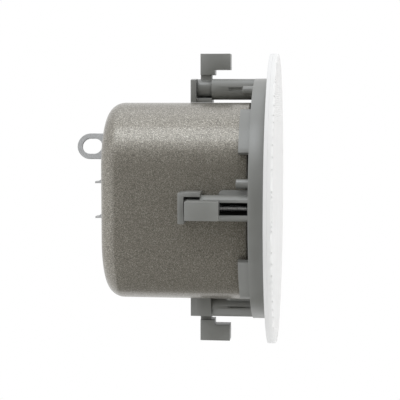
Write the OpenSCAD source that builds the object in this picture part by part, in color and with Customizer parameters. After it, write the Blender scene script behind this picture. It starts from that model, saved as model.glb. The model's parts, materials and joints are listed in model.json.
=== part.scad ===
// Ceiling speaker with a steel back can and four swing-out ceiling clamps.
// Millimetres. The ceiling plane is z = 0: the grille faces down, the can stands up into the void.

/* [Grille and trim] */
// Outer diameter of the grille and trim ring
trim_d = 200; // [192:1:230]
// Thickness of the trim ring
trim_t = 2.3; // [1.6:0.1:3.5]
// Height of the grille below the trim ring
grille_h = 3.4; // [3:0.1:6]
// Thickness of the grille sheet
grille_t = 0.8; // [0.5:0.1:1.2]
// Pitch of the grille perforation
hole_pitch = 9.5; // [8:0.5:14]
// Diameter of one perforation
hole_d = 6; // [4:0.5:7]
// Diameter of a grille magnet
magnet_disc_d = 8; // [6:0.5:10]

/* [Mounting ring] */
// Diameter of the ring that passes through the ceiling cut-out
spigot_d = 166; // [164:0.5:180]
// Height of the ring above the ceiling plane
spigot_h = 10.4; // [9:0.1:14]
// Wall of the ring
ring_wall = 3; // [2:0.1:4]
// Thickness of the plate that carries the woofer
plate_t = 2.5; // [2:0.1:4]
// Height of the four skirt tabs above the ring
tab_h = 6.9; // [3:0.1:9]

/* [Back can] */
// Gap between the can's flats and the clamp towers
can_gap = 2; // [1.6:0.1:3]
// Radius of the can's upright corners
can_corner_r = 42.8; // [40:0.2:44]
// Height of the can's rear face above the ceiling plane
can_top = 108.3; // [98:0.1:130]
// Radius of the can's rear edge
can_edge_r = 11; // [5:0.5:12]
// Thickness of the can's sheet steel
can_t = 1.2; // [0.8:0.1:2]

/* [Clamps] */
// Number of ceiling clamps
clamp_n = 4; // [4:1:4]
// Diameter of a clamp tower
tower_d = 16.5; // [16:0.1:18]
// Height of a tower's rear end
tower_top = 40.4; // [38:0.1:48]
// Width of a clamp leg
leg_w = 11.76; // [10:0.1:12]
// Reach of a clamp leg from its screw
leg_reach = 23.35; // [20:0.1:24]
// Depth of a clamp leg from its rear face to its foot
leg_depth = 20.7; // [16:0.1:24]
// Diameter of a clamp screw
screw_d = 3.6; // [3:0.1:4]

/* [Woofer] */
// Diameter of the woofer's flange
woofer_d = 110; // [106:1:112]
// Diameter of the plate's woofer opening
woofer_hole_d = 92; // [91:0.5:94]
// Diameter of the voice coil's former, inside
coil_d = 25.1; // [25:0.1:26]
// Diameter of the magnet
magnet_d = 72; // [64:1:84]
// Thickness of the magnet
magnet_t = 10; // [6:0.5:14]

/* [Rear fittings] */
// Width of the safety eyelet's hole
eyelet_hole_d = 11.2; // [8:0.2:12]
// Length of the eyelet's hole
eyelet_hole_l = 14; // [12:0.2:16]
// Width of the safety eyelet
eyelet_w = 18.4; // [15:0.2:20]
// Height of the eyelet's round end above the can
eyelet_h = 18.4; // [14:0.1:26]
// Distance of the eyelet from the axis
eyelet_x = 35.8; // [34:0.1:44]
// Width of the terminal plate
terminal_w = 48; // [46:1:50]
// Length of the terminal plate
terminal_l = 62; // [58:1:70]

/* [Hidden] */
$fn = 72;
eps = 0.01;
seat = 0.02;
run_gap = 0.05;
soft_gap = 0.3;

trim_r = trim_d / 2;
spigot_r = spigot_d / 2;
ring_in_r = spigot_r - ring_wall;
plate_z = spigot_h - plate_t;
grille_z = -trim_t - grille_h;
grille_in_z = grille_z + grille_t;
grille_round = 1.2;
scrim_t = 0.3;
trim_in_r = spigot_r - 14;
magnet_disc_r = trim_r - 10;
magnet_pocket = 0.5;
register_t = 0.3;
register_step = 1.5;

clamp_r = spigot_r - 6.35;
can_r = clamp_r - tower_d / 2 - can_gap;
gasket_t = 1;
can_z = spigot_h + gasket_t;
can_lip = 8;
can_flat = can_r - can_corner_r;
corner_reach = can_flat * sqrt(2) + can_corner_r;
can_screw_r = corner_reach - can_t - 4.5;
tab_in_r = corner_reach + 0.4;
tab_out_r = spigot_r - 3;
tab_from = 26;
tab_to = 51;

tower_wall = 1.95;
flush_r = 60;
bore_r = tower_d / 2 - tower_wall;
slot_w = 8;
neck_w = slot_w - 0.6;
hub_r = bore_r - 0.3;
hub_z = tower_top + 0.2;
leg_top = tower_top + 7.8;
leg_low = leg_top - 10;
leg_foot_w = 11.04;
cap_gap = 10.4;
cap_top = tower_top + cap_gap;
cap_t = 3.8;
cap_half = 9.9;
cap_wall_t = 2.9;
cap_in_r = can_r + 0.1;
stop_y = cap_half + 0.4;
slit_x = -1.05;
slit_w = 2.4;
slit_narrow_w = 0.9;
slit_floor = bore_r + 0.6;
slit_top = tower_top - 11.9;
fin_top = tower_top - 10.7;
boss_angles = [-78.4, -11.6, 101.6, 168.4];
boss_r = spigot_r - 6.7;
boss_d = 6;
boss_top = spigot_h + 8;
boss_round = 0.8;
head_r = 3.2;
head_t = 2.4;
nut_r = 3.5;
nut_flange_t = 1.2;

woofer_r = woofer_d / 2;
woofer_hole_r = woofer_hole_d / 2;
basket_t = 1;
basket_top = plate_z + 23.1;
pole_plate_t = 4;
magnet_z = basket_top + pole_plate_t;
yoke_z = magnet_z + magnet_t;
yoke_t = 4;
coil_r = coil_d / 2;
coil_wall = 0.3;
pole_r = coil_r - 0.35;
woofer_bolt_r = woofer_r - 3.8;

term_z = can_top;
term_t = 1.5;

// Shared shapes

module tube(r_out, r_in, z0, z1) {
    translate([0, 0, z0])
        difference() {
            cylinder(r = r_out, h = z1 - z0);
            translate([0, 0, -1]) cylinder(r = r_in, h = z1 - z0 + 2);
        }
}

module rod(r, z0, z1) {
    translate([0, 0, z0]) cylinder(r = r, h = z1 - z0);
}

// A block centred on x and y, from z0 to z1
module block(x, y, z0, z1) {
    translate([-x / 2, -y / 2, z0]) cube([x, y, z1 - z0]);
}

// A plate with rounded corners, centred on x and y
module rounded_plate(x, y, r, z0, z1) {
    translate([0, 0, z0]) linear_extrude(z1 - z0) rounded_outline(x, y, r);
}

module rounded_outline(x, y, r) {
    square([x - 2 * r, y], center = true);
    square([x, y - 2 * r], center = true);
    for (sx = [-1, 1], sy = [-1, 1])
        translate([sx * (x / 2 - r), sy * (y / 2 - r)]) circle(r = r, $fn = 32);
}

// Half of the can's section: a wall that turns into the rear face with a round edge
module can_profile(half, edge_r, z0, z1) {
    translate([0, z0]) square([half, z1 - z0 - edge_r]);
    translate([0, z0]) square([half - edge_r, z1 - z0]);
    translate([half - edge_r, z1 - edge_r]) circle(r = edge_r);
}

// The can's outer or inner form, a rounded square with a round rear edge
module can_form(half, edge_r, z0, z1) {
    flat = can_flat;
    corner = half - flat;
    for (sx = [-1, 1], sy = [-1, 1])
        translate([sx * flat, sy * flat, 0])
            rotate_extrude() intersection() {
                can_profile(corner, edge_r, z0, z1);
                square([corner, z1]);
            }
    for (turn = [0, 90])
        rotate([90, 0, turn])
            translate([0, 0, -flat])
                linear_extrude(2 * flat) {
                    can_profile(half, edge_r, z0, z1);
                    mirror([1, 0]) can_profile(half, edge_r, z0, z1);
                }
}

module at_clamp(i) {
    rotate([0, 0, 90 * (i - 1)]) translate([clamp_r, 0, 0]) children();
}

// Trims a tower or a cap to end flush with the ring, with a rounder back than the ring's
module flush_end(z0, z1) {
    translate([spigot_r - 0.15 - flush_r, 0, 0]) rod(flush_r, z0, z1);
}

module at_corners(r) {
    for (a = [45:90:315]) rotate([0, 0, a]) translate([r, 0, 0]) children();
}

module pan_head(r, h, z0) {
    translate([0, 0, z0]) mirror([0, 0, 1]) rotate_extrude() {
        square([r, h * 0.45]);
        intersection() {
            translate([0, h * 0.45 - 0.2]) circle(r = r);
            translate([0, h * 0.4]) square([r, h * 0.6]);
        }
    }
}

// A cross-head screw that goes in from the grille side; its head's seat is at z0
module front_screw(shank_r, r_head, h_head, z0, z1) {
    difference() {
        union() {
            intersection() {
                pan_head(r_head, h_head, z0);
                rod(r_head, z0 - h_head, z0);
            }
            rod(shank_r, z0 - eps, z1);
        }
        for (a = [0, 90]) rotate([0, 0, a])
            block(r_head * 1.1, r_head * 0.25, z0 - h_head - 1, z0 - h_head * 0.45);
    }
}

// Grille and trim ring

module perforation(z0, z1) {
    reach = trim_r - grille_round - hole_d / 2 - 1;
    row_pitch = hole_pitch * sqrt(3) / 2;
    rows = floor(reach / row_pitch);
    translate([0, 0, z0]) linear_extrude(z1 - z0)
        for (j = [-rows:rows]) {
            y = j * row_pitch;
            shift = (j % 2 == 0) ? 0 : hole_pitch / 2;
            cols = floor((sqrt(reach * reach - y * y) - shift) / hole_pitch);
            for (i = [-cols - (shift > 0 ? 1 : 0):cols])
                translate([i * hole_pitch + shift, y]) circle(d = hole_d, $fn = 24);
        }
}

// The perforated sheet with its turned-up rim
module grille() {
    round_r = grille_round;
    color("whitesmoke")
        difference() {
            union() {
                translate([0, 0, grille_z]) rotate_extrude($fn = 180) {
                    translate([0, 0]) square([trim_r - round_r, grille_t]);
                    translate([trim_r - grille_t, round_r]) square([grille_t, grille_h - round_r]);
                    intersection() {
                        translate([trim_r - round_r, round_r]) difference() {
                            circle(r = round_r);
                            circle(r = round_r - grille_t);
                        }
                        translate([trim_r - round_r, 0]) square([round_r, round_r]);
                    }
                }
            }
            perforation(grille_z - 1, grille_in_z + 1);
        }
}

module grille_scrim() {
    color("dimgray") rod(trim_r - 3, grille_in_z, grille_in_z + scrim_t);
}

module grille_magnets() {
    color("silver")
        at_corners(magnet_disc_r)
            rod(magnet_disc_d / 2, grille_in_z + scrim_t, -trim_t + magnet_pocket);
}

// The white ring that bears on the ceiling. The mounting ring stands in a shallow seat in it.
module trim_ring() {
    color("whitesmoke")
        difference() {
            tube(trim_r, trim_in_r, -trim_t, 0);
            rod(spigot_r + register_step, -register_t, 1);
            for (i = [1:clamp_n]) at_clamp(i) rod(head_r + 1.2, -trim_t - 1, 1);
            for (a = boss_angles) rotate([0, 0, a]) translate([boss_r, 0, 0]) rod(1.6, -trim_t - 1, 1);
            at_corners(magnet_disc_r) rod(magnet_disc_d / 2 + seat, -trim_t - 1, -trim_t + magnet_pocket);
        }
}

module trim_screws() {
    color("dimgray")
        for (a = boss_angles) rotate([0, 0, a]) translate([boss_r, 0, 0])
            front_screw(1.35, 2.7, 1.6, -trim_t, boss_top - 5);
}

// Mounting ring with its clamp towers, skirt tabs and screw bosses

module tower_solid() {
    intersection() {
        translate([clamp_r, 0, 0]) rod(tower_d / 2, plate_z, tower_top);
        flush_end(0, tower_top + 1);
    }
}

// The bore that the nut slides in and the slot that guides the leg
module tower_bore() {
    translate([clamp_r, 0, 0]) {
        rod(bore_r, spigot_h, tower_top + 1);
        translate([0, -slot_w / 2, spigot_h]) cube([20, slot_w, tower_top]);
    }
}

// A blind slit in each side of the tower, narrow on the stop wall's side
module tower_slits() {
    z0 = spigot_h + 1;
    depth = tower_d / 2 - slit_floor + 1;
    translate([clamp_r + slit_x, 0, 0]) {
        translate([-slit_narrow_w / 2, slit_floor, z0]) cube([slit_narrow_w, depth, slit_top - z0]);
        translate([-slit_w / 2, -slit_floor - depth, z0]) cube([slit_w, depth, slit_top - z0]);
    }
}

// A small round stud near the rear end of each slit
module tower_studs() {
    stud_r = 0.5;
    translate([clamp_r + slit_x, 0, slit_top - 1]) rotate([90, 0, 0])
        translate([0, 0, -slit_floor - 1]) cylinder(r = stud_r, h = 2 * slit_floor + 2, $fn = 24);
}

// A rib beside the tower, on the side of the stop wall
module tower_fin() {
    x0 = clamp_r - tower_d / 2;
    y0 = 5;
    y1 = 11;
    round_r = 3;
    translate([x0, 0, 0]) rotate([90, 0, 90]) linear_extrude(2) {
        translate([y0, spigot_h - 1]) square([y1 - y0, fin_top - round_r - spigot_h + 1]);
        translate([y0, spigot_h - 1]) square([y1 - y0 - round_r, fin_top - spigot_h + 1]);
        translate([y1 - round_r, fin_top - round_r]) circle(r = round_r, $fn = 32);
    }
}

module skirt_tab(a0, a1) {
    rotate([0, 0, a0])
        translate([0, 0, spigot_h - eps])
            rotate_extrude(angle = a1 - a0, $fn = 144)
                translate([tab_in_r, 0]) square([tab_out_r - tab_in_r, tab_h + eps]);
}

module screw_boss() {
    rod(boss_d / 2, -register_t, boss_top - boss_round);
    translate([0, 0, boss_top - boss_round]) rotate_extrude() {
        square([boss_d / 2 - boss_round, boss_round]);
        intersection() {
            translate([boss_d / 2 - boss_round, 0]) circle(r = boss_round, $fn = 32);
            square([boss_d / 2, boss_round]);
        }
    }
}

module mounting_ring() {
    color("gray")
        difference() {
            union() {
                tube(spigot_r, ring_in_r, 0, spigot_h);
                tube(spigot_r - register_step, ring_in_r, -register_t, 1);
                tube(spigot_r - 1, woofer_hole_r, plate_z, spigot_h);
                for (i = [1:clamp_n]) rotate([0, 0, 90 * (i - 1)]) {
                    difference() {
                        union() {
                            difference() {
                                tower_solid();
                                tower_slits();
                            }
                            tower_studs();
                        }
                        tower_bore();
                    }
                    tower_fin();
                }
                for (side = [-90, 90], s = [-1, 1])
                    if (s > 0) skirt_tab(side + tab_from, side + tab_to);
                    else skirt_tab(side - tab_to, side - tab_from);
                for (a = boss_angles) rotate([0, 0, a]) translate([boss_r, 0, 0]) screw_boss();
                rib_ring();
            }
            for (i = [1:clamp_n]) at_clamp(i) rod(screw_d / 2 + run_gap, 0, tower_top);
            for (a = boss_angles) rotate([0, 0, a]) translate([boss_r, 0, 0]) rod(1.35, -1, boss_top - 4);
            at_corners(can_screw_r) rod(1.7, 0, spigot_h + 1);
            for (a = [0:90:270]) rotate([0, 0, a]) translate([woofer_bolt_r, 0, 0]) rod(1.4, 0, spigot_h + 1);
            rotate([0, 0, 45]) translate([switch_r, 0, 0]) rod(bush_r + 0.1, 0, spigot_h + 1);
        }
}

// Stiffening ribs on the front of the plate, between the woofer and the ring wall
module rib_ring() {
    for (a = [22.5:45:337.5]) rotate([0, 0, a])
        translate([woofer_r + 1.5, -0.8, plate_z - 3])
            cube([ring_in_r - woofer_r - 1, 1.6, 3 + eps]);
}

// Back can

module back_can() {
    color("rosybrown")
        difference() {
            can_form(can_r, can_edge_r, can_z, can_top);
            can_form(can_r - can_t, can_edge_r - can_t, can_z + can_t, can_top - can_t);
            translate([0, 0, can_z - 1]) linear_extrude(can_t + 2)
                rounded_outline(2 * (can_r - can_lip), 2 * (can_r - can_lip), can_corner_r - can_lip);
            at_corners(can_screw_r) rod(1.3, can_z - 1, can_z + 3);
            block(terminal_w - 12, terminal_l - 14, can_top - 4, can_top + 1);
            at_terminal_screws() rod(1.45, can_top - 4, can_top + 1);
            at_eyelet() translate([0, eyelet_rivet_y, 0]) rod(2.2, can_top - 4, can_top + 1);
        }
}

module can_gasket() {
    color("black")
        translate([0, 0, spigot_h]) linear_extrude(gasket_t) difference() {
            rounded_outline(2 * can_r, 2 * can_r, can_corner_r);
            rounded_outline(2 * (can_r - can_lip), 2 * (can_r - can_lip), can_corner_r - can_lip);
            for (a = [45:90:315]) rotate(a) translate([can_screw_r, 0]) circle(r = 1.7, $fn = 32);
        }
}

module can_screws() {
    color("silver") at_corners(can_screw_r) front_screw(1.3, 2.8, 1.8, plate_z, can_z + 4);
}

// A strip of wadding that lines the can's side walls
module damping_pad() {
    pad_t = 5;
    half = can_r - can_t - soft_gap;
    color("white")
        translate([0, 0, can_z + 30]) linear_extrude(can_top - can_z - 50) difference() {
            rounded_outline(2 * half, 2 * half, can_corner_r - can_t);
            rounded_outline(2 * (half - pad_t), 2 * (half - pad_t), can_corner_r - can_t - pad_t);
        }
}

// Clamps: a fixed cap, a swinging leg, the nut that carries it and the screw that drives them

module clamp_cap(i) {
    base_t = clamp_r - cap_in_r - hub_r - 1;
    base_y = -6;
    color("gray") rotate([0, 0, 90 * (i - 1)]) difference() {
        intersection() {
            union() {
                translate([cap_in_r, -cap_half, cap_top]) cube([20, 2 * cap_half, cap_t]);
                translate([cap_in_r, stop_y - cap_wall_t, tower_top]) cube([20, cap_wall_t, cap_gap + eps]);
                translate([cap_in_r, base_y, tower_top]) cube([base_t, cap_half - base_y, cap_gap + eps]);
            }
            flush_end(tower_top, cap_top + cap_t);
        }
        translate([clamp_r, 0, 0]) rod(screw_d / 2 + run_gap, cap_top - 1, cap_top + 2);
    }
}

// The dog-leg: a hub round the nut, a narrow neck, a stem and a foot that turns down to the ceiling
module clamp_leg(i) {
    neck_to = tower_d / 2 + 0.5;
    color("gray") at_clamp(i) difference() {
        union() {
            rod(hub_r, hub_z, cap_top - 0.3);
            translate([0, -neck_w / 2, hub_z]) cube([neck_to + 1, neck_w, leg_top - hub_z]);
            translate([neck_to, -leg_w / 2, leg_low]) cube([leg_reach - neck_to, leg_w, leg_top - leg_low]);
            translate([leg_reach - leg_foot_w, -leg_w / 2, leg_top - leg_depth])
                cube([leg_foot_w, leg_w, leg_depth]);
        }
        rod(nut_r + run_gap, tower_top - 1, cap_top + 1);
        rod(hub_r - 0.8, tower_top - 1, hub_z + nut_flange_t + 0.1);
    }
}

// The flanged brass nut that the leg turns on
module clamp_nut(i) {
    color("goldenrod") at_clamp(i) difference() {
        union() {
            rod(nut_r, hub_z, cap_top - 0.5);
            rod(hub_r - 0.9, hub_z, hub_z + nut_flange_t);
        }
        rod(screw_d / 2 + run_gap, tower_top - 1, cap_top + 1);
    }
}

module clamp_screw(i) {
    color("silver") at_clamp(i) front_screw(screw_d / 2, head_r, head_t, plate_z, cap_top + 1.7);
}

// Woofer

basket_ledge_r = 33;
basket_neck_r = 28.5;
ledge_z = plate_z + 14.1;
cone_z = plate_z - 1;
cone_r = 37.5;

module woofer_basket() {
    rim_in = woofer_hole_r - 2;
    color("dimgray") difference() {
        rotate_extrude() polygon([
            [woofer_r, plate_z - basket_t], [woofer_r, plate_z], [rim_in + 1, plate_z],
            [rim_in, plate_z + 2], [basket_ledge_r + 1, ledge_z + basket_t],
            [basket_neck_r + 1, ledge_z + basket_t], [basket_neck_r + 1, basket_top],
            [pole_r + 1.8, basket_top], [pole_r + 1.8, basket_top - basket_t],
            [basket_neck_r, basket_top - basket_t], [basket_neck_r, ledge_z],
            [basket_ledge_r, ledge_z], [rim_in - 1, plate_z + 1.5], [rim_in - 1, plate_z - basket_t]
        ]);
        for (a = [45:90:315]) rotate([0, 0, a])
            translate([rim_in - 14, -15, plate_z + 4]) cube([30, 30, ledge_z - plate_z - 5.5]);
        for (a = [0:90:270]) rotate([0, 0, a]) translate([woofer_bolt_r, 0, 0]) rod(1.6, 0, plate_z + 1);
    }
}

module woofer_gasket() {
    color("black") tube(woofer_hole_r + 1.5, woofer_hole_r - 1, plate_z - 2.5, plate_z - 1.5);
}

module woofer_screws() {
    color("silver") for (a = [0:90:270]) rotate([0, 0, a]) translate([woofer_bolt_r, 0, 0])
        front_screw(1.4, 2.8, 1.8, plate_z - basket_t, plate_z + 7);
}

// Half-roll rubber surround between the cone's edge and the basket's rim
module surround() {
    lip_z = cone_z - 0.5;
    roll_out = woofer_hole_r - 2.5;
    roll_mid = (cone_r + roll_out) / 2;
    roll_r = (roll_out - cone_r) / 2;
    color("black") rotate_extrude() {
        translate([roll_out - 0.2, lip_z]) square([3.7, 0.5]);
        translate([cone_r - 2.3, lip_z]) square([2.5, 0.5]);
        translate([roll_mid, lip_z + 0.5]) difference() {
            circle(r = roll_r + 0.2);
            circle(r = roll_r - 0.3);
            translate([-10, 0]) square([20, 10]);
        }
    }
}

module cone() {
    neck_z = cone_z + 12.3;
    color("darkslategray") rotate_extrude() polygon([
        [cone_r, cone_z], [cone_r, cone_z + 0.5], [cone_r - 2.5, cone_z + 0.5],
        [coil_r + coil_wall, neck_z + 0.6], [coil_r + coil_wall, neck_z - 0.4], [cone_r - 2.8, cone_z]
    ]);
}

module voice_coil() {
    color("goldenrod") {
        tube(coil_r + coil_wall, coil_r, cone_z + 11, basket_top + 6);
        tube(coil_r + coil_wall + 0.25, coil_r + coil_wall - eps, basket_top - 2, basket_top + 6);
    }
}

// Corrugated disc that centres the voice coil
module spider() {
    r0 = coil_r + coil_wall + soft_gap;
    steps = 48;
    z = ledge_z - 0.9;
    function wave(k) = 0.5 * sin(k * 360 / 8);
    span = basket_ledge_r - 0.3 - r0;
    color("khaki") rotate_extrude() polygon(concat(
        [for (k = [0:steps]) [r0 + span * k / steps, z + wave(k)]],
        [for (k = [steps:-1:0]) [r0 + span * k / steps, z + 0.35 + wave(k)]]
    ));
}

module pole_plate() {
    color("silver") tube(magnet_d / 2 - 4, coil_r + coil_wall + 0.25 + soft_gap, basket_top, magnet_z);
}

module magnet() {
    color("dimgray") tube(magnet_d / 2, magnet_d / 4, magnet_z, yoke_z);
}

module yoke() {
    color("silver") {
        rod(magnet_d / 2 - 3, yoke_z, yoke_z + yoke_t);
        rod(pole_r, basket_top, yoke_z + eps);
    }
}

module tweeter_housing() {
    color("black") {
        rod(4, cone_z + 9, basket_top);
        difference() {
            rod(coil_r - 1.2, cone_z - 1, cone_z + 9);
            rod(8.5, cone_z - 2, cone_z + 3);
        }
    }
}

module tweeter_dome() {
    color("silver") rotate_extrude() intersection() {
        translate([0, cone_z + 7.6]) difference() {
            circle(r = 9.5);
            circle(r = 9.1);
        }
        translate([0, -10]) square([8.45, cone_z + 13]);
    }
}

// Transformer and crossover on the rear wall

core_x = -28;
core_w = 41;
core_d = 34;
core_t = 16;
core_yoke = 6;
limb_w = 13.8;
window_w = 6.8;
winding_gap = 0.3;
winding_over = 6;
wall_z = can_top - can_t;

module transformer_core() {
    z1 = wall_z;
    color("dimgray") translate([core_x, 0, 0]) difference() {
        block(core_t, core_w, z1 - core_d, z1);
        for (s = [-1, 1]) translate([0, s * (limb_w + window_w) / 2, 0])
            block(core_t + 2, window_w, z1 - core_d + core_yoke, z1 - core_yoke);
    }
}

module transformer_winding() {
    w = limb_w + 2 * (window_w - winding_gap);
    z0 = wall_z - core_d + core_yoke + winding_gap;
    z1 = wall_z - core_yoke - winding_gap;
    color("orange") translate([core_x, 0, 0]) difference() {
        block(core_t + 2 * winding_over, w, z0, z1);
        block(core_t + seat, limb_w + 0.1, z0 - 1, z1 + 1);
    }
}

module transformer_strap() {
    z1 = wall_z;
    w = 10;
    t = 1.2;
    foot = 6;
    color("silver") translate([core_x, 0, 0]) {
        for (s = [-1, 1]) {
            translate([-w / 2, s > 0 ? core_w / 2 : -core_w / 2 - t, z1 - core_d - t])
                cube([w, t, core_d + t]);
            translate([-w / 2, s > 0 ? core_w / 2 : -core_w / 2 - foot, z1 - t]) cube([w, foot, t]);
        }
        block(w, core_w + eps, z1 - core_d - t, z1 - core_d);
    }
}

board_x = 30;
board_w = 34;
board_l = 58;
board_t = 1.6;
board_z = can_top - 12;
post_inset = 4;
capacitor_r = 6;
capacitor_l = 24;

// The board hangs from the rear wall on four posts
module crossover_board() {
    post_r = 2.5;
    color("darkgreen") translate([board_x, 0, 0]) {
        rounded_plate(board_w, board_l, 2, board_z - board_t, board_z);
        for (sx = [-1, 1], sy = [-1, 1])
            translate([sx * (board_w / 2 - post_inset), sy * (board_l / 2 - post_inset), 0])
                rod(post_r, board_z - eps, wall_z);
    }
}

module crossover_capacitor() {
    color("steelblue") translate([board_x, 14, board_z - board_t - capacitor_r])
        rotate([0, 90, 0]) rod(capacitor_r, -capacitor_l / 2, capacitor_l / 2);
}

module crossover_coil() {
    coil_h = 10.4;
    color("orange") translate([board_x, -12, 0]) tube(11, 5, board_z - board_t - coil_h, board_z - board_t);
}

// Power tap switch behind the grille

switch_body_r = 6;
switch_body_h = 9;
bush_r = 3.1;
bush_h = 0.5;
knob_r = 4.6;
knob_h = 4;
switch_r = corner_reach - can_lip - switch_body_r - 0.9;

module tap_switch() {
    color("black") rotate([0, 0, 45]) translate([switch_r, 0, 0]) {
        rod(switch_body_r, spigot_h, spigot_h + switch_body_h);
        rod(bush_r, plate_z - bush_h, spigot_h + eps);
    }
}

// The knob has a raised grip with a pointer notch at one end
module tap_knob() {
    grip_h = 1.5;
    z1 = plate_z - bush_h;
    z0 = z1 - knob_h;
    color("dimgray") rotate([0, 0, 45]) translate([switch_r, 0, 0]) difference() {
        union() {
            rod(knob_r, z0, z1);
            block(7, 1.6, z0 - grip_h, z0 + 0.5);
        }
        translate([3, -0.4, z0 - grip_h - 1]) cube([3, 0.8, 1.5]);
    }
}

// Rear fittings

block_y = 18;
clamp_y = -20;

module terminal_plate() {
    color("lightgray") difference() {
        rounded_plate(terminal_w, terminal_l, 3, term_z, term_z + term_t);
        at_terminal_screws() rod(1.5, term_z - 1, term_z + term_t + 1);
    }
}

module at_terminal_screws() {
    for (sx = [-1, 1], sy = [-1, 1])
        translate([sx * (terminal_w / 2 - 3), sy * (terminal_l / 2 - 3.5), 0]) children();
}

module terminal_screws() {
    color("silver") at_terminal_screws() translate([0, 0, term_z + term_t])
        mirror([0, 0, 1]) front_screw(1.45, 2.5, 1.4, 0, 6);
}

// Four-way screw terminal block, with a wire port in the side of each way
module terminal_block() {
    ways = 4;
    pitch = 7.5;
    h = 9;
    color("black") translate([0, block_y, term_z + term_t]) difference() {
        block(ways * pitch + 2, 14, 0, h);
        for (k = [0:ways - 1]) translate([(k - (ways - 1) / 2) * pitch, 0, 0]) {
            translate([0, 1, 0]) rod(2.4, h - 4, h + 1);
            translate([-2.2, -8, 1.5]) cube([4.4, 6, 4.5]);
        }
        translate([-ways * pitch / 2 - 2, 5, h - 3]) cube([ways * pitch + 4, 6, 4]);
    }
}

module terminal_clamp_screws() {
    ways = 4;
    pitch = 7.5;
    color("silver") for (k = [0:ways - 1])
        translate([(k - (ways - 1) / 2) * pitch, block_y + 1, term_z + term_t]) difference() {
            rod(2.38, 5, 8);
            block(6, 0.6, 7.2, 9);
        }
}

// Folded bracket with two upright lugs that the cable tie passes behind
module cable_clamp() {
    z0 = term_z + term_t;
    lug_x = 12;
    lug_t = 1.2;
    lug_top = can_top + 10.7;
    lug_w = 7;
    color("lightgray") translate([0, clamp_y, 0]) {
        block(2 * lug_x + lug_t, 10, z0, z0 + lug_t);
        for (s = [-1, 1]) translate([s * lug_x, 0, 0]) {
            block(lug_t, lug_w, z0, lug_top);
            translate([lug_t / 2 - eps, lug_t / 2, z0 + lug_t - eps]) rotate([90, 0, 0]) linear_extrude(lug_t)
                polygon([[0, 0], [s > 0 ? 3.4 : 4.2, 0], [0, lug_top - z0 - lug_t - 1.5]]);
        }
    }
}

// The eyelet's upright plate stands on the axis' side of the can, turned a little about the vertical
eyelet_tilt = 17;
eyelet_t = 2;
eyelet_foot = 17;
eyelet_rivet_y = -10;

module at_eyelet() {
    translate([eyelet_x, 0, 0]) rotate([0, 0, eyelet_tilt]) children();
}

// Folded steel eyelet for the safety wire
module safety_eyelet() {
    t = eyelet_t;
    run = eyelet_hole_l - eyelet_hole_d;
    color("silver") at_eyelet() {
        translate([0, t / 2, can_top]) rotate([90, 0, 0])
            linear_extrude(t) difference() {
                union() {
                    translate([0, eyelet_h]) circle(d = eyelet_w);
                    translate([-eyelet_w / 2, 0]) square([eyelet_w, eyelet_h]);
                }
                translate([0, eyelet_h]) circle(d = eyelet_hole_d);
                translate([0, eyelet_h - run]) circle(d = eyelet_hole_d);
                translate([-eyelet_hole_d / 2, eyelet_h - run]) square([eyelet_hole_d, run]);
            }
        difference() {
            translate([-eyelet_w / 2, t / 2 - eyelet_foot, can_top]) cube([eyelet_w, eyelet_foot, t]);
            translate([0, eyelet_rivet_y, 0]) rod(2.2, can_top - 1, can_top + t + 1);
        }
    }
}

module eyelet_rivet() {
    color("silver") at_eyelet() translate([0, eyelet_rivet_y, 0]) {
        rod(2.2, can_top - can_t - 1, can_top + eyelet_t + eps);
        rod(4, can_top + eyelet_t, can_top + eyelet_t + 1.2);
        rod(3.4, can_top - can_t - 1, can_top - can_t);
    }
}

grille();
grille_scrim();
grille_magnets();
trim_ring();
trim_screws();
mounting_ring();
back_can();
can_gasket();
can_screws();
damping_pad();
for (i = [1:clamp_n]) {
    clamp_cap(i);
    clamp_leg(i);
    clamp_nut(i);
    clamp_screw(i);
}
woofer_basket();
woofer_gasket();
woofer_screws();
surround();
cone();
voice_coil();
spider();
pole_plate();
magnet();
yoke();
tweeter_housing();
tweeter_dome();
transformer_core();
transformer_winding();
transformer_strap();
crossover_board();
crossover_capacitor();
crossover_coil();
tap_switch();
tap_knob();
terminal_plate();
terminal_screws();
terminal_block();
terminal_clamp_screws();
cable_clamp();
safety_eyelet();
eyelet_rivet();
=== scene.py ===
import json
import math

import bmesh
import bpy
from mathutils import Matrix, Vector


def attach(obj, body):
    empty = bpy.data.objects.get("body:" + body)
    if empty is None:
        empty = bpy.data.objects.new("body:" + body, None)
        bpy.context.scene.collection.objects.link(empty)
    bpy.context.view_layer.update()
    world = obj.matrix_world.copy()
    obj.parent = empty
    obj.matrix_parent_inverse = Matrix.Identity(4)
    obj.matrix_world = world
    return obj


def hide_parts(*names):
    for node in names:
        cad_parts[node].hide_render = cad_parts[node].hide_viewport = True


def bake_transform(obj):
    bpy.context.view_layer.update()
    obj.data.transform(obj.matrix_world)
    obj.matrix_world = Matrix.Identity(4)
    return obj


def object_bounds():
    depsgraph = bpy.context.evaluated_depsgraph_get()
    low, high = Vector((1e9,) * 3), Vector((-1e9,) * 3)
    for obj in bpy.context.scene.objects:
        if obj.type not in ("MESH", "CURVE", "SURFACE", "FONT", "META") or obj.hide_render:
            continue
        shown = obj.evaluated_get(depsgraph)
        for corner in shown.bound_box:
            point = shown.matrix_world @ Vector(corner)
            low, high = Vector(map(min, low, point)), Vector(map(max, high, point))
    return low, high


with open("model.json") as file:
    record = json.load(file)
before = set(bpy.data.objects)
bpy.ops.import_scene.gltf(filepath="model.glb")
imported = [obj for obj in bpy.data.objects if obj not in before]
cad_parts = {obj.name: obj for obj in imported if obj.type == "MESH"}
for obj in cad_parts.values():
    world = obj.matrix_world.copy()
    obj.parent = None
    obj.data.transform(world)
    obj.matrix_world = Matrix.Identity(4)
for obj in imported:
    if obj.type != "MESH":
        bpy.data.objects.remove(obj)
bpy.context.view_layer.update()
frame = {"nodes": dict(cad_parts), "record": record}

# Sizes are in millimetres and angles in degrees, unless a comment says otherwise
MM = 0.001

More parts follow.
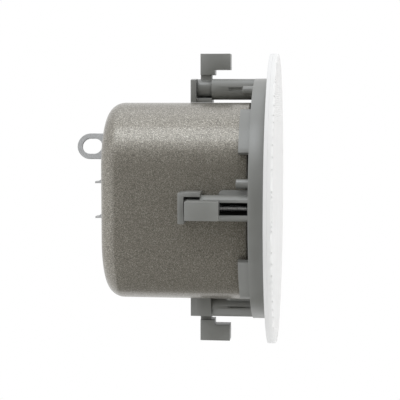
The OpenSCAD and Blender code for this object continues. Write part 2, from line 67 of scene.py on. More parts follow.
# Grille and trim ring, as in the part's source
TRIM_R = 100.0
TRIM_T = 2.3
GRILLE_H = 3.4
GRILLE_T = 0.8
GRILLE_ROUND = 1.2

# The fine perforation, which only the scene has
HOLE_PITCH = 3.0
HOLE_R = 0.8
HOLES_OVER_BEND = 1.0

# Back can, as in the source
CAN_HALF = 66.4
CAN_CORNER = 42.8
CAN_BASE = 11.4
CAN_TOP = 108.3
CAN_EDGE = 11.0
CAN_WALL = 1.2
CAN_LIP = 8.0
CAN_LIP_BEND = 1.6

# Clamps and their screws, as in the source
CLAMPS = 4
CLAMP_R = 76.65
BORE_R = 6.3
BORE_LOW = 10.4
TOWER_TOP = 40.4
SCREW_R = 1.8
SCREW_PITCH = 1.6
SCREW_HEAD_Z = 7.9
SCREW_TIP_Z = 52.5

# Safety eyelet, as in the source
EYELET_X = 35.8
EYELET_TILT = 17.0
EYELET_H = 18.4
EYELET_W = 18.4
EYELET_HOLE_R = 5.6
EYELET_RUN = 2.8
EYELET_T = 2.0
EYELET_FOOT = 17.0
EYELET_BEND_IN = 1.0
EYELET_BEND_OUT = 1.6

# How far the sharp edges of the moulded and pressed CAD nodes are eased
EASED = {"mounting_ring": 0.3, "trim_ring": 0.25, "cable_clamp": 0.2, "terminal_plate": 0.2,
         "terminal_block": 0.25, "terminal_screws": 0.1, "eyelet_rivet": 0.3}
CAP_EASE = 0.3
LEG_EASE = 0.35

# Points closer than this, in metres, are joined: in a CAD mesh, and in one made here
CAD_WELD = 1e-6
WELD = 1e-7

# Camera, at the photograph's angle: its place in millimetres and its axes
CAMERA_AT = (66.47, -784.36, -35.48)
CAMERA_RIGHT = (0.0, 0.10727, -0.99423)
CAMERA_UP = (0.99630, 0.08538, 0.009212)
CAMERA_BACK = (0.08588, -0.99055, -0.10687)
LENS = 101.66

# Light
WHITE = (1.0, 1.0, 1.0)
COOL = (0.9, 0.95, 1.0)
AMBIENT = 0.9
IN_THE_CAN = (0, 0, 0.04)
ON_THE_GRILLE = (0, 0, 0)
# Each lamp's name, place, target and side in metres, watts, colour, and whether it is reflected
LAMPS = (
    ("key", (1.7, 0.4, 0.3), IN_THE_CAN, 1.2, 2.5, COOL, True),
    ("front", (1.54, -0.83, 0.35), IN_THE_CAN, 0.85, 5, COOL, True),
    ("low", (-1.4, -0.5, 0.2), IN_THE_CAN, 1.0, 2, COOL, False),
    ("under", (0.1, -0.3, -1.6), ON_THE_GRILLE, 1.4, 9, WHITE, False),
)
# Each dark card's name, lower and upper end in degrees, half width and distance in metres, and
# whether only reflections see it
FLAGS = (
    ("flag_near", -32, 10, 0.6, 1.35, False),
    ("flag_far", -122, 35, 0.9, 2.4, True),
)
FLAG_STEPS = 24
FLAG_GLOW = 0.17
FLAG_TINT = (1.0, 0.96, 0.8)

# Floor, in metres
FLOOR_REACH = 3.0
FLOOR_GAP = 0.0002
FADE_FROM, FADE_TO = 0.1, 0.9


# Helpers

def grey(value):
    return (value, value, value)


def shade(colour, factor):
    return tuple(min(1, c * factor) for c in colour)


def arc(start, end, steps):
    """Angles in radians, in equal steps from start to end in degrees."""
    return [math.radians(start + (end - start) * k / steps) for k in range(steps + 1)]


def clamp_axis(index):
    """Where the screw of clamp 1 to 4 stands."""
    turn = math.radians(90 * (index - 1))
    return CLAMP_R * math.cos(turn), CLAMP_R * math.sin(turn)


def add_object(name, data):
    obj = bpy.data.objects.new(name, data)
    bpy.context.collection.objects.link(obj)
    return obj


def math_node(nodes, links, operation, first, second):
    """The result of a Math node on two sockets, or on a number and a socket."""
    node = nodes.new("ShaderNodeMath")
    node.operation = operation
    for socket, value in zip(node.inputs, (first, second)):
        if isinstance(value, float):
            socket.default_value = value
        else:
            links.new(value, socket)
    return node.outputs[0]


def mix_shaders(nodes, links, factor, first, second, out):
    mix = nodes.new("ShaderNodeMixShader")
    for socket, source in zip(mix.inputs, (factor, first, second)):
        links.new(source, socket)
    links.new(mix.outputs[0], out.inputs["Surface"])


# Camera, light and floor

def make_camera():
    data = bpy.data.cameras.new("camera")
    data.lens = LENS
    data.sensor_width = 36.0
    data.clip_end = 20.0
    camera = add_object("camera", data)
    axes = Matrix((CAMERA_RIGHT, CAMERA_UP, CAMERA_BACK)).transposed()
    camera.matrix_world = Matrix.Translation(Vector(CAMERA_AT) * MM) @ axes.to_4x4()
    bpy.context.scene.camera = camera


def make_lamp(name, at, aim, side, watts, colour, glossy):
    data = bpy.data.lights.new(name, "AREA")
    data.energy = watts
    data.color = colour
    data.shape = "SQUARE"
    data.size = side
    lamp = add_object(name, data)
    lamp.location = at
    lamp.rotation_euler = (Vector(aim) - Vector(at)).to_track_quat("-Z", "Y").to_euler()
    lamp.visible_glossy = glossy


def background(nodes, strength):
    node = nodes.new("ShaderNodeBackground")
    node.inputs["Color"].default_value = (*WHITE, 1)
    node.inputs["Strength"].default_value = strength
    return node.outputs[0]


def make_world():
    """Plain ambient light, which the camera and reflections see as full white."""
    world = bpy.data.worlds.new("studio")
    bpy.context.scene.world = world
    world.use_nodes = True
    nodes, links = world.node_tree.nodes, world.node_tree.links
    nodes.clear()
    path = nodes.new("ShaderNodeLightPath").outputs
    seen = math_node(nodes, links, "MAXIMUM", path["Is Camera Ray"], path["Is Transmission Ray"])
    mirrored = math_node(nodes, links, "MAXIMUM", seen, path["Is Glossy Ray"])
    out = nodes.new("ShaderNodeOutputWorld")
    mix_shaders(nodes, links, mirrored, background(nodes, AMBIENT), background(nodes, 1.0), out)


def make_flag(name, low, high, half_width, distance, for_gloss_only):
    """A card behind the camera, bent round the speaker's axis at a distance.

    It keeps the side that faces the camera dark, and no camera sees it. Its ends are low and high
    degrees up from straight behind the camera."""
    verts, faces = [], []
    for a in arc(low, high, FLAG_STEPS):
        x, y = distance * math.sin(a), -distance * math.cos(a)
        verts += [(x, y, -half_width), (x, y, half_width)]
    for k in range(FLAG_STEPS):
        faces.append((2 * k, 2 * k + 1, 2 * k + 3, 2 * k + 2))
    mesh = bpy.data.meshes.new(name)
    mesh.from_pydata(verts, [], faces)
    flag = add_object(name, mesh)
    mat, _, _, shader = new_material(name, grey(0.01), roughness=1.0, specular=0.0)
    shader.inputs["Emission Color"].default_value = (*FLAG_TINT, 1)
    shader.inputs["Emission Strength"].default_value = FLAG_GLOW
    mesh.materials.append(mat)
    flag.visible_camera = False
    flag.visible_diffuse = not for_gloss_only
    flag.visible_shadow = not for_gloss_only


def make_floor():
    """A pale floor under the grille that fades out into the white world.

    It is seen from above only, because the photograph's camera is below it."""
    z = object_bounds()[0][2] - FLOOR_GAP
    corners = ((-1, -1), (1, -1), (1, 1), (-1, 1))
    mesh = bpy.data.meshes.new("floor")
    mesh.from_pydata([(FLOOR_REACH * x, FLOOR_REACH * y, z) for x, y in corners], [],
                     [(0, 1, 2, 3)])
    floor = add_object("floor", mesh)
    mat = bpy.data.materials.new("floor_white")
    mat.use_nodes = True
    nodes, links = mat.node_tree.nodes, mat.node_tree.links
    nodes.clear()

    # 1 where the camera sees the upper side, 0 elsewhere
    below = nodes.new("ShaderNodeNewGeometry").outputs["Backfacing"]
    above = math_node(nodes, links, "SUBTRACT", 1.0, below)
    camera_ray = nodes.new("ShaderNodeLightPath").outputs["Is Camera Ray"]
    shown = math_node(nodes, links, "MULTIPLY", above, camera_ray)

    # 1 under the speaker, 0 far from it
    distance = nodes.new("ShaderNodeVectorMath")
    distance.operation = "LENGTH"
    links.new(nodes.new("ShaderNodeTexCoord").outputs["Object"], distance.inputs[0])
    fade = nodes.new("ShaderNodeMapRange")
    fade.interpolation_type = "SMOOTHERSTEP"
    fade.inputs["From Min"].default_value = FADE_FROM
    fade.inputs["From Max"].default_value = FADE_TO
    fade.inputs["To Min"].default_value = 1.0
    fade.inputs["To Max"].default_value = 0.0
    links.new(distance.outputs["Value"], fade.inputs["Value"])

    solid = math_node(nodes, links, "MULTIPLY", shown, fade.outputs["Result"])
    clear = nodes.new("ShaderNodeBsdfTransparent")
    paint = nodes.new("ShaderNodeBsdfDiffuse")
    paint.inputs["Color"].default_value = (*grey(0.9), 1)
    out = nodes.new("ShaderNodeOutputMaterial")
    mix_shaders(nodes, links, solid, clear.outputs[0], paint.outputs[0], out)
    mesh.materials.append(mat)


# Materials

def new_material(name, colour, roughness=0.5, metallic=0.0, specular=0.5):
    mat = bpy.data.materials.new(name)
    mat.use_nodes = True
    shader = mat.node_tree.nodes["Principled BSDF"]
    shader.inputs["Base Color"].default_value = (*colour, 1)
    shader.inputs["Roughness"].default_value = roughness
    shader.inputs["Metallic"].default_value = metallic
    shader.inputs["Specular IOR Level"].default_value = specular
    return mat, mat.node_tree.nodes, mat.node_tree.links, shader


def object_coords(nodes, links, scale=(1, 1, 1)):
    coords = nodes.new("ShaderNodeTexCoord")
    mapping = nodes.new("ShaderNodeMapping")
    mapping.inputs["Scale"].default_value = scale
    links.new(coords.outputs["Object"], mapping.inputs["Vector"])
    return mapping.outputs["Vector"]


def noise(nodes, links, vector, scale, detail=2.0, roughness=0.5):
    node = nodes.new("ShaderNodeTexNoise")
    node.inputs["Scale"].default_value = scale
    node.inputs["Detail"].default_value = detail
    node.inputs["Roughness"].default_value = roughness
    links.new(vector, node.inputs["Vector"])
    return node.outputs["Fac"]


def waves(nodes, links, vector, direction, scale):
    node = nodes.new("ShaderNodeTexWave")
    node.bands_direction = direction
    node.inputs["Scale"].default_value = scale
    links.new(vector, node.inputs["Vector"])
    return node.outputs["Fac"]


def ramp(nodes, links, factor, target, *stops):
    """Drives the target socket by a colour ramp of two or more stops, each a place and a colour."""
    node = nodes.new("ShaderNodeValToRGB")
    elements = node.color_ramp.elements
    while len(elements) < len(stops):
        elements.new(0.5)
    for element, (place, colour) in zip(elements, stops):
        element.position = place
        element.color = (*colour, 1)
    links.new(factor, node.inputs["Fac"])
    links.new(node.outputs["Color"], target)


def add_bump(nodes, links, shader, height, strength, distance):
    node = nodes.new("ShaderNodeBump")
    node.inputs["Strength"].default_value = strength
    node.inputs["Distance"].default_value = distance
    links.new(height, node.inputs["Height"])
    links.new(node.outputs["Normal"], shader.inputs["Normal"])


def moulded_plastic(name, colour, roughness, depth=0.00006, spread=0.12, specular=0.5):
    """Spark-eroded moulding: a slightly uneven colour, a fine grain and a patchy sheen."""
    mat, nodes, links, shader = new_material(name, colour, roughness, specular=specular)
    vector = object_coords(nodes, links)
    patches = noise(nodes, links, vector, scale=60, detail=3)
    ramp(nodes, links, patches, shader.inputs["Base Color"],
         (0.3, shade(colour, 1 - spread)), (0.7, shade(colour, 1 + spread)))
    ramp(nodes, links, patches, shader.inputs["Roughness"],
         (0.3, grey(roughness - 0.06)), (0.7, grey(roughness + 0.08)))
    grain = noise(nodes, links, vector, scale=1350)
    add_bump(nodes, links, shader, grain, strength=0.5, distance=depth)
    return mat


def powder_coat(name, colour, roughness):
    """Baked powder coat with a fine orange peel."""
    mat, nodes, links, shader = new_material(name, colour, roughness, specular=0.25)
    vector = object_coords(nodes, links)
    tone = noise(nodes, links, vector, scale=40)
    ramp(nodes, links, tone, shader.inputs["Base Color"],
         (0.3, shade(colour, 0.97)), (0.7, colour))
    peel = noise(nodes, links, vector, scale=1400, detail=1)
    add_bump(nodes, links, shader, peel, strength=0.4, distance=0.00004)
    return mat


def can_coat():
    """Aluminised grey-brown coat: dense light and dark flakes in a satin metallic ground."""
    ground = (0.228, 0.212, 0.185)
    mat, nodes, links, shader = new_material("can_coat", ground, roughness=0.4, metallic=0.65)
    shader.inputs["Coat Weight"].default_value = 0.5
    shader.inputs["Coat Roughness"].default_value = 0.16
    mix = nodes.new("ShaderNodeMix")
    mix.data_type = "RGBA"
    mix.blend_type = "MULTIPLY"
    mix.inputs["Factor"].default_value = 1.0
    links.new(mix.outputs["Result"], shader.inputs["Base Color"])
    vector = object_coords(nodes, links)
    flakes = noise(nodes, links, vector, scale=1750, roughness=0.7)
    ramp(nodes, links, flakes, mix.inputs["A"],
         (0.3, (0.12, 0.11, 0.09)), (0.48, ground), (0.6, (0.37, 0.35, 0.30)),
         (0.74, (0.62, 0.6, 0.56)))
    cloud = noise(nodes, links, vector, scale=620, detail=3, roughness=0.6)
    ramp(nodes, links, cloud, mix.inputs["B"], (0.3, grey(0.86)), (0.7, grey(1.12)))
    ramp(nodes, links, flakes, shader.inputs["Roughness"], (0.35, grey(0.48)), (0.7, grey(0.33)))
    add_bump(nodes, links, shader, flakes, strength=0.35, distance=0.00005)
    return mat


def brushed_metal(name, colour, roughness=0.35, grain=(300, 300, 2500)):
    """Rolled and plated metal: a directional grain with faint bright and dull patches."""
    mat, nodes, links, shader = new_material(name, colour, roughness, metallic=0.9)
    patch = noise(nodes, links, object_coords(nodes, links), scale=150, detail=3)
    ramp(nodes, links, patch, shader.inputs["Base Color"],
         (0.3, shade(colour, 0.85)), (0.7, colour))
    vector = object_coords(nodes, links, grain)
    streak = noise(nodes, links, vector, scale=1.0, detail=3, roughness=0.6)
    ramp(nodes, links, streak, shader.inputs["Roughness"],
         (0.3, grey(roughness - 0.08)), (0.7, grey(roughness + 0.12)))
    add_bump(nodes, links, shader, streak, strength=0.25, distance=0.00003)
    return mat


def woven_cloth(name, colour, threads=1600):
    """A plain weave from two crossed waves."""
    mat, nodes, links, shader = new_material(name, colour, roughness=0.9, specular=0.2)
    vector = object_coords(nodes, links)
    warp, weft = (waves(nodes, links, vector, way, threads / 6) for way in ("X", "Y"))
    cross = math_node(nodes, links, "MAXIMUM", warp, weft)
    ramp(nodes, links, cross, shader.inputs["Base Color"],
         (0.2, shade(colour, 0.4)), (0.8, colour))
    add_bump(nodes, links, shader, cross, strength=0.6, distance=0.0001)
    return mat


def mottled(name, colour, roughness, scale, spread, metallic=0.0, depth=0.00005):
    """A matt surface whose tone and height vary at one scale."""
    mat, nodes, links, shader = new_material(name, colour, roughness, metallic)
    grain = noise(nodes, links, object_coords(nodes, links), scale, detail=4)
    ramp(nodes, links, grain, shader.inputs["Base Color"],
         (0.3, shade(colour, 1 - spread)), (0.7, shade(colour, 1 + spread)))
    add_bump(nodes, links, shader, grain, strength=0.5, distance=depth)
    return mat


def copper_wire(name):
    """Enamelled wire laid turn by turn."""
    mat, nodes, links, shader = new_material(name, (0.62, 0.25, 0.1), roughness=0.3, metallic=0.9)
    turns = waves(nodes, links, object_coords(nodes, links), "Z", 700)
    ramp(nodes, links, turns, shader.inputs["Base Color"],
         (0.1, (0.25, 0.08, 0.03)), (0.7, (0.7, 0.3, 0.13)))
    add_bump(nodes, links, shader, turns, strength=0.7, distance=0.0002)
    return mat


def make_materials():
    return {
        "white_coat": powder_coat("white_coat", (0.83, 0.83, 0.825), 0.7),
        "white_abs": moulded_plastic("white_abs", grey(0.80), 0.6, depth=0.00004, spread=0.02),
        "grey_abs": moulded_plastic("grey_abs", (0.21, 0.213, 0.202), 0.34, spread=0.05,
                                    specular=1.0),
        # Painted shade: a near-black copy of the grey plastic for the shadowed insides of the clamp
        # towers
        "bore": moulded_plastic("bore", grey(0.035), 0.6, spread=0.2),
        "can_steel": can_coat(),
        "zinc": brushed_metal("zinc", (0.5, 0.505, 0.51), 0.4),
        "brass": brushed_metal("brass", (0.72, 0.52, 0.22)),
        "black_steel": mottled("black_steel", grey(0.02), 0.4, scale=900, spread=0.3, metallic=0.3),
        "ferrite": mottled("ferrite", grey(0.045), 0.7, scale=700, spread=0.3),
        "rubber": mottled("rubber", grey(0.018), 0.6, scale=900, spread=0.2),
        "foam": mottled("foam", grey(0.02), 0.95, scale=1600, spread=0.5, depth=0.0003),
        "cone_pulp": mottled("cone_pulp", (0.035, 0.035, 0.04), 0.75, scale=500, spread=0.35),
        "spider_cloth": woven_cloth("spider_cloth", (0.62, 0.42, 0.16)),
        "scrim_cloth": woven_cloth("scrim_cloth", grey(0.02), threads=2500),
        "wadding": mottled("wadding", grey(0.7), 1.0, scale=300, spread=0.15, depth=0.001),
        "copper": copper_wire("copper"),
        "neodymium": brushed_metal("neodymium", grey(0.7), 0.2),
        "black_plastic": moulded_plastic("black_plastic", grey(0.02), 0.45),
        "titanium": brushed_metal("titanium", (0.62, 0.62, 0.63), 0.3),
        "laminate": brushed_metal("laminate", (0.16, 0.16, 0.17), 0.45, grain=(2500, 100, 100)),
        "pcb": mottled("pcb", (0.01, 0.13, 0.04), 0.3, scale=120, spread=0.15),
        "film_cap": mottled("film_cap", (0.03, 0.10, 0.30), 0.35, scale=90, spread=0.1),
    }


def dress_cad_nodes(materials):
    """Gives each CAD node its own slot's material, and returns every node's slot."""
    slot_of = {part["node"]: part["material_slot"] for part in frame["record"]["subparts"]}
    for name, node in frame["nodes"].items():
        if not node.material_slots:
            node.data.materials.append(None)
        for slot in node.material_slots:
            slot.material = materials[slot_of[name]]
    return slot_of


# Meshes and pieces

def finish_mesh(mesh, material, sharp_angle):
    """One material, and smooth except across edges sharper than the angle."""
    mesh.materials.clear()
    mesh.materials.append(material)
    mesh.shade_smooth()
    mesh.set_sharp_from_angle(angle=math.radians(sharp_angle))


def link_mesh(name, verts, faces, material, sharp_angle):
    """A new object from points in millimetres."""
    mesh = bpy.data.meshes.new(name)
    mesh.from_pydata([(x * MM, y * MM, z * MM) for x, y, z in verts], [], faces)
    mesh.validate()
    bm = bmesh.new()
    bm.from_mesh(mesh)
    bmesh.ops.remove_doubles(bm, verts=bm.verts, dist=WELD)
    bmesh.ops.delete(bm, geom=[v for v in bm.verts if not v.link_faces], context="VERTS")
    bm.to_mesh(mesh)
    bm.free()
    finish_mesh(mesh, material, sharp_angle)
    return add_object(name, mesh)


def stand_in(piece, node, body="root"):
    """The piece joins the given body, and the CAD node it stands in for is hidden."""
    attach(piece, body)
    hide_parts(node)


def loft(loops, cap_start=False, cap_end=False):
    """Quads between closed loops of equal length."""
    count = len(loops[0])
    verts = [point for loop in loops for point in loop]
    faces = []
    for row in range(len(loops) - 1):
        here, there = row * count, (row + 1) * count
        for i in range(count):
            j = (i + 1) % count
            faces.append((here + i, here + j, there + j, there + i))
    if cap_start:
        faces.append(tuple(reversed(range(count))))
    if cap_end:
        faces.append(tuple(range(len(verts) - count, len(verts))))
    return verts, faces


def join(verts, faces, more_verts, more_faces):
    """Adds a second mesh to the first, and returns the place of its first point."""
    start = len(verts)
    verts += more_verts
    faces += [tuple(start + i for i in face) for face in more_faces]
    return start


def rounded_square(half, corner, steps=20):
    """Outline of a square with round corners, anticlockwise."""
    flat = half - corner
    points = []
    for quarter, (sx, sy) in enumerate(((1, 1), (-1, 1), (-1, -1), (1, -1))):
        for step in range(steps + 1):
            angle = (quarter + step / steps) * math.pi / 2
            points.append((sx * flat + corner * math.cos(angle),
                           sy * flat + corner * math.sin(angle)))
    return points


def make_can():
    """The drawn steel shell with its round rear edge and its turned-in lip."""
    # Each point of the profile is the distance in from the can's side, and z
    edge_z = CAN_TOP - CAN_EDGE
    side_steps = 8
    outer = [(CAN_LIP, CAN_BASE)]
    outer += [(CAN_LIP_BEND * (1 - math.sin(a)), CAN_BASE + CAN_LIP_BEND * (1 - math.cos(a)))
              for a in arc(0, 90, 6)]
    outer += [(0.0, CAN_BASE + (edge_z - CAN_BASE) * k / side_steps)
              for k in range(1, side_steps + 1)]
    outer += [(CAN_EDGE * (1 - math.cos(a)), edge_z + CAN_EDGE * math.sin(a))
              for a in arc(0, 90, 12)[1:]]
    inner_edge = CAN_EDGE - CAN_WALL
    inner = [(CAN_WALL + inner_edge * (1 - math.cos(a)), edge_z + inner_edge * math.sin(a))
             for a in arc(90, 0, 6)]
    inner += [(CAN_WALL, CAN_BASE + CAN_LIP_BEND), (CAN_LIP_BEND, CAN_BASE + CAN_WALL),
              (CAN_LIP, CAN_BASE + CAN_WALL)]

    def ring(inset, z):
        return [(x, y, z) for x, y in rounded_square(CAN_HALF - inset, CAN_CORNER - inset)]

    verts, faces = loft([ring(*p) for p in outer], cap_end=True)
    count = len(ring(0, 0))
    start = join(verts, faces, *loft([ring(*p) for p in inner], cap_start=True))
    last = start + (len(inner) - 1) * count
    faces += [(last + i, last + (i + 1) % count, (i + 1) % count, i) for i in range(count)]
    can = link_mesh("can_shell", verts, faces, MATERIALS["can_steel"], sharp_angle=50)
    stand_in(can, "back_can")


def dish_point(x, y, depth):
    """A point of the flat blank on the formed sheet: flat, then round the corner to the wall."""
    rho = math.hypot(x, y)
    flat = TRIM_R - GRILLE_ROUND
    front = -TRIM_T - GRILLE_H
    if rho <= flat:
        return (x, y, front + depth)
    bend = min((rho - flat) / GRILLE_ROUND, math.pi / 2)
    radius = flat + (GRILLE_ROUND - depth) * math.sin(bend)
    z = front + GRILLE_ROUND - (GRILLE_ROUND - depth) * math.cos(bend)
    return (x / rho * radius, y / rho * radius, z)


def make_grille():
    """The perforated sheet, whose holes run on over the start of its rounded corner.

    Each hole is in the middle of a hexagon of sheet. The hexagons past the last hole are plain."""
    flat = TRIM_R - GRILLE_ROUND
    edge = flat + GRILLE_ROUND * math.pi / 2
    touch = 0.01
    verts, faces, known = [], [], {}

    def vertex(x, y, depth):
        """The index of a point of the blank, held inside its edge and shared by neighbours."""
        rho = math.hypot(x, y)
        if rho > edge:
            x, y = x * edge / rho, y * edge / rho
        key = (round(x, 4), round(y, 4), depth)
        if key not in known:
            known[key] = len(verts)
            verts.append(dish_point(x, y, depth))
        return known[key]

    row_pitch = HOLE_PITCH * math.sqrt(3) / 2
    rows = int(edge / row_pitch) + 1
    circle = [(math.cos(math.radians(30 * k)), math.sin(math.radians(30 * k))) for k in range(12)]
    corner = HOLE_PITCH / math.sqrt(3)
    for row in range(-rows, rows + 1):
        cy = row * row_pitch
        shift = (row % 2) * HOLE_PITCH / 2
        for col in range(-rows - 2, rows + 3):
            cx = col * HOLE_PITCH + shift
            cell = [(cx + c * corner, cy + s * corner) for c, s in circle[1::2]]
            if min(math.hypot(x, y) for x, y in cell) >= edge - 2 * touch:
                continue
            outer = [vertex(x, y, 0.0) for x, y in cell]
            if math.hypot(cx, cy) > flat + HOLES_OVER_BEND:
                loop = [v for i, v in enumerate(outer) if v != outer[i - 1]]
                if len(set(loop)) >= 3 and len(set(loop)) == len(loop):
                    faces.append(tuple(reversed(loop)))
                continue
            hole, deep = ([vertex(cx + c * HOLE_R, cy + s * HOLE_R, depth) for c, s in circle]
                          for depth in (0.0, GRILLE_T))
            for k in range(6):
                a, b, c = 2 * k + 1, (2 * k + 2) % 12, (2 * k + 3) % 12
                faces.append((outer[(k + 1) % 6], outer[k], hole[a], hole[b], hole[c]))
                faces.append((hole[b], hole[a], deep[a], deep[b]))
                faces.append((hole[c], hole[b], deep[b], deep[c]))

    # The rim goes on from the sheet's edge: up outside, round its end and down inside
    on_edge = [i for (x, y, depth), i in known.items()
               if depth == 0.0 and math.hypot(x, y) > edge - touch]
    on_edge.sort(key=lambda i: math.atan2(verts[i][1], verts[i][0]))
    angles = [math.atan2(verts[i][1], verts[i][0]) for i in on_edge]
    wall_in = TRIM_R - GRILLE_T
    ease = 0.15
    profile = [(TRIM_R, -TRIM_T - ease), (TRIM_R - ease, -TRIM_T),
               (wall_in + ease, -TRIM_T), (wall_in, -TRIM_T - ease),
               (wall_in, -TRIM_T - GRILLE_H + GRILLE_ROUND), (flat, -TRIM_T - GRILLE_H + GRILLE_T)]
    count = len(on_edge)
    previous = on_edge
    for radius, z in profile:
        current = list(range(len(verts), len(verts) + count))
        verts += [(radius * math.cos(a), radius * math.sin(a), z) for a in angles]
        for i in range(count):
            j = (i + 1) % count
            faces.append((previous[i], previous[j], current[j], current[i]))
        previous = current
    grille = link_mesh("perforated_grille", verts, faces, MATERIALS["white_coat"], sharp_angle=40)
    stand_in(grille, "grille")


def eased_copy(node, width, body="root"):
    """A copy of a CAD node with its sharp edges eased, as moulding and deburring leave them.

    The width is in millimetres."""
    flat_angle, edge_angle = math.radians(0.5), math.radians(40)
    bm = bmesh.new()
    bm.from_mesh(frame["nodes"][node].data)
    bmesh.ops.remove_doubles(bm, verts=bm.verts, dist=CAD_WELD)
    bmesh.ops.dissolve_limit(bm, angle_limit=flat_angle, verts=bm.verts, edges=bm.edges)
    mesh = bpy.data.meshes.new(node + "_rough")
    bm.to_mesh(mesh)
    bm.free()
    rough = add_object(node + "_rough", mesh)
    bevel = rough.modifiers.new("ease", "BEVEL")
    bevel.width = width * MM
    bevel.segments = 2
    bevel.limit_method = "ANGLE"
    bevel.angle_limit = edge_angle
    bevel.miter_outer = "MITER_ARC"
    graph = bpy.context.evaluated_depsgraph_get()
    final = bpy.data.meshes.new_from_object(rough.evaluated_get(graph))
    bpy.data.objects.remove(rough)
    finish_mesh(final, MATERIALS[SLOT_OF[node]], sharp_angle=32)
    piece = add_object(node + "_eased", final)
    stand_in(piece, node, body)
    return piece


def darken_bores(ring):
    """Paints shade into the four clamp towers: faces deep inside them get a near-black material, a
    painted shade for the shadow there.
    """
    ring.data.materials.append(MATERIALS["bore"])
    slack, grey_end = 0.05, 0.5
    axes = [clamp_axis(index) for index in range(1, CLAMPS + 1)]
    for face in ring.data.polygons:
        x, y, z = face.center / MM
        deep = BORE_LOW - slack < z < TOWER_TOP - grey_end
        if deep and any(math.hypot(x - cx, y - cy) < BORE_R + slack for cx, cy in axes):
            # painted shade: this face deep in a tower gets the near-black material
            face.material_index = 1


def make_eyelet():
    """The safety eyelet: a folded strip with eased edges, whose upright end is round and holed."""
    ease, half_w = 0.25, EYELET_W / 2
    y_front, y_back = -EYELET_T / 2, EYELET_T / 2

    def hole_reach(c, s, grow):
        """From the centre of the hole's round upper end to the hole's edge.

        The centre of its round lower end is EYELET_RUN further down."""
        r, run = EYELET_HOLE_R + grow, EYELET_RUN
        if s >= 0:
            return r
        side = r / max(abs(c), 1e-6)
        if side * -s <= run:
            return side
        return -s * run + math.sqrt(s * s * run * run - run * run + r * r)

    def outline_reach(c, s, inset):
        """From the same centre to the upright's edge: a half circle above, straight below."""
        reach = half_w - inset
        if s < 0:
            drop = EYELET_H - EYELET_T - EYELET_BEND_IN
            reach = min(reach / max(abs(c), 1e-6), drop / -s)
        return reach

    def loop(reach_of, change, y):
        sides = 96
        points = []
        for k in range(sides):
            a = 2 * math.pi * (k + 0.5) / sides
            c, s = math.cos(a), math.sin(a)
            reach = reach_of(c, s, change)
            points.append((c * reach, y, CAN_TOP + (EYELET_H + s * reach)))
        return points

    loops = [loop(*step) for step in (
        (outline_reach, 0, y_back - ease), (outline_reach, ease, y_back),
        (hole_reach, ease, y_back), (hole_reach, 0, y_back - ease),
        (hole_reach, 0, y_front + ease), (hole_reach, ease, y_front),
        (outline_reach, ease, y_front), (outline_reach, 0, y_front + ease))]
    verts, faces = loft(loops + [loops[0]])

    # The fold and the foot, as a profile in y and z drawn across the strip's width
    tail = y_back - EYELET_FOOT
    upper, inner, outer = CAN_TOP + EYELET_T, EYELET_BEND_IN, EYELET_BEND_OUT
    section = [(y_back, upper + inner)]
    section += [(y_back - outer * (1 - math.cos(a)), CAN_TOP + outer * (1 - math.sin(a)))
                for a in arc(0, 90, 5)]
    section += [(tail + ease, CAN_TOP), (tail, CAN_TOP + ease), (tail, upper - ease),
                (tail + ease, upper)]
    section += [(y_front - inner * (1 - math.cos(a)), upper + inner * (1 - math.sin(a)))
                for a in arc(90, 0, 5)]
    strip = [[(x, y, z) for y, z in section] for x in (half_w, -half_w)]
    join(verts, faces, *loft(strip, cap_start=True, cap_end=True))

    turn = math.radians(EYELET_TILT)
    placed = [(EYELET_X + x * math.cos(turn) - y * math.sin(turn),
               x * math.sin(turn) + y * math.cos(turn), z) for x, y, z in verts]
    eyelet = link_mesh("eyelet_folded", placed, faces, MATERIALS["zinc"], sharp_angle=35)
    stand_in(eyelet, "safety_eyelet")


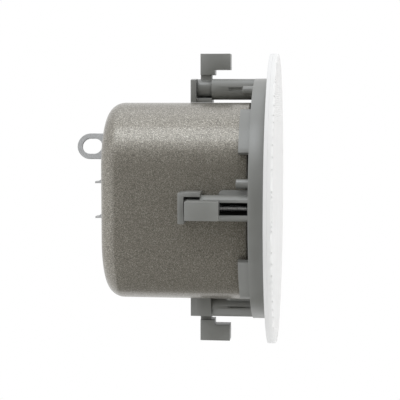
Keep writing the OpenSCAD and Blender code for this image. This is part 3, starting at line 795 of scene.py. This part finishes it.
def make_clamp_screw(index):
    """The CAD screw's head with a shank that carries its rolled thread."""
    node = f"clamp_screw_{index}"
    cx, cy = clamp_axis(index)
    sides, rows_per_turn, depth, seam = 24, 6, 0.2, 0.05
    length = SCREW_TIP_Z - SCREW_HEAD_Z
    rows = int(length / SCREW_PITCH * rows_per_turn)
    loops = []
    for row in range(rows + 1):
        z = SCREW_HEAD_Z + length * row / rows
        loop = []
        for side in range(sides):
            phase = (z / SCREW_PITCH - side / sides) % 1
            r = SCREW_R - depth * abs(2 * phase - 1)
            a = 2 * math.pi * side / sides
            loop.append((cx + r * math.cos(a), cy + r * math.sin(a), z))
        loops.append(loop)
    verts, faces = loft(loops, cap_start=True, cap_end=True)
    bm = bmesh.new()
    bm.from_mesh(frame["nodes"][node].data)
    shank = [v for v in bm.verts if v.co.z > (SCREW_HEAD_Z + seam) * MM]
    bmesh.ops.delete(bm, geom=shank, context="VERTS")
    bm.verts.index_update()
    join(verts, faces, [tuple(c / MM for c in v.co) for v in bm.verts],
         [[v.index for v in face.verts] for face in bm.faces])
    bm.free()
    screw = link_mesh(node + "_threaded", verts, faces, MATERIALS["zinc"], sharp_angle=50)
    stand_in(screw, node, node)


def make_flexing_ring(node, sectors=16):
    """A ring between cone and basket, cut along radii into sectors, each an object of its own."""
    half = math.pi / sectors
    for k in range(sectors):
        middle = 2 * half * k
        bm = bmesh.new()
        bm.from_mesh(frame["nodes"][node].data)
        bmesh.ops.remove_doubles(bm, verts=bm.verts, dist=CAD_WELD)
        for side in (-1, 1):
            edge = middle + side * half
            away = (-side * math.sin(edge), side * math.cos(edge), 0)
            cut = bmesh.ops.bisect_plane(bm, geom=bm.verts[:] + bm.edges[:] + bm.faces[:],
                                         dist=WELD, plane_co=(0, 0, 0), plane_no=away,
                                         clear_outer=True)["geom_cut"]
            rim = [item for item in cut if isinstance(item, bmesh.types.BMEdge)]
            bmesh.ops.holes_fill(bm, edges=rim)
        mesh = bpy.data.meshes.new(f"{node}_{k}")
        bm.to_mesh(mesh)
        bm.free()
        finish_mesh(mesh, MATERIALS[SLOT_OF[node]], sharp_angle=40)
        piece = add_object(f"{node}_{k}", mesh)
        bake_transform(piece)
        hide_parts(node)


make_camera()
make_world()
make_floor()
for flag_settings in FLAGS:
    make_flag(*flag_settings)
for lamp_settings in LAMPS:
    make_lamp(*lamp_settings)

MATERIALS = make_materials()
SLOT_OF = dress_cad_nodes(MATERIALS)
make_can()
make_grille()
make_eyelet()
for number in range(1, CLAMPS + 1):
    make_clamp_screw(number)
    eased_copy(f"clamp_cap_{number}", CAP_EASE)
    eased_copy(f"clamp_leg_{number}", LEG_EASE, f"clamp_leg_{number}")
make_flexing_ring("surround")
make_flexing_ring("spider")
for cad_node, edge_width in EASED.items():
    eased = eased_copy(cad_node, edge_width)
    if cad_node == "mounting_ring":
        # painted shade inside the four clamp towers
        darken_bores(eased)

bpy.context.scene.view_settings.view_transform = "Standard"
